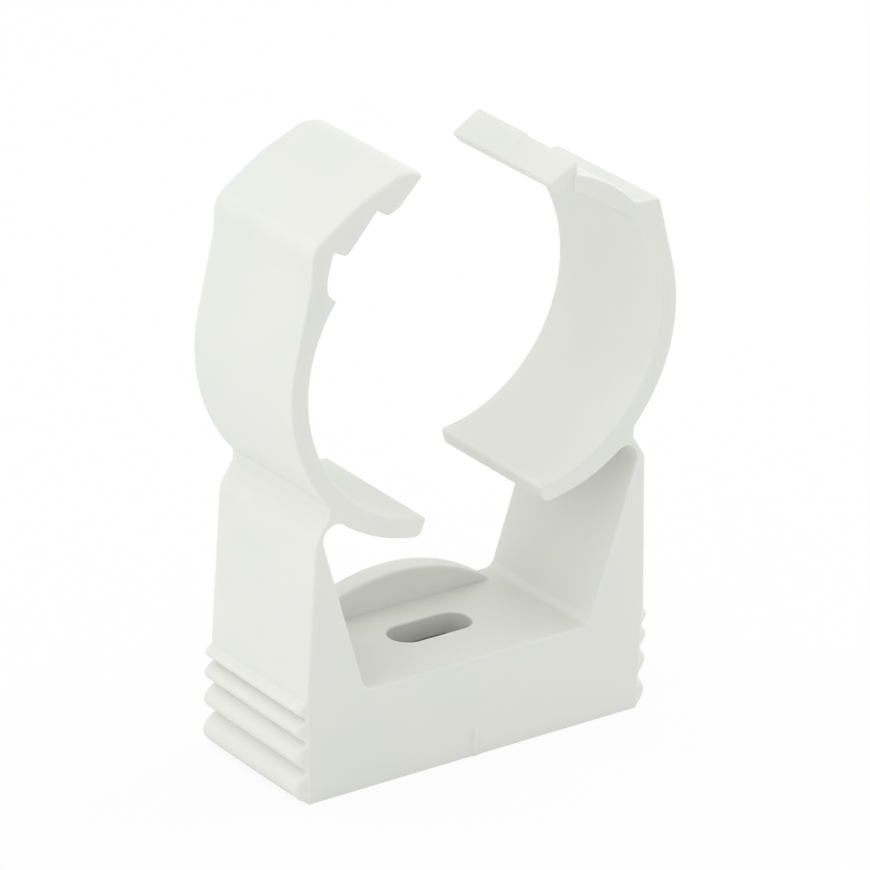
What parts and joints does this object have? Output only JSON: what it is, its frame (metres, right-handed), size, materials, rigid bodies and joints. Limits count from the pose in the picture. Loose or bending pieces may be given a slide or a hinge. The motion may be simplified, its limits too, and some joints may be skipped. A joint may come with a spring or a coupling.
{
  "type": "pipe clip",
  "caption": "Snap-closing pipe clip moulded in one piece, shown open: slotted screw base, posts with thin bending necks, curved arms that end in a catch head and a latch tongue.",
  "frame": {"origin": "middle of the mounting face, which lies flat on the wall or ceiling", "axes": "+X across the base from the catch head to the latch tongue, +Y along the pipe towards the side with the arched web, +Z away from the mounting face towards the mouth"},
  "size_m": [0.0582, 0.0216, 0.0814],
  "materials": {
    "clip_plastic": "semi-matte light grey moulded polypropylene"
  },
  "bodies": {
    "root": {"pipe_clip": "clip_plastic"}
  },
  "joints": []
}
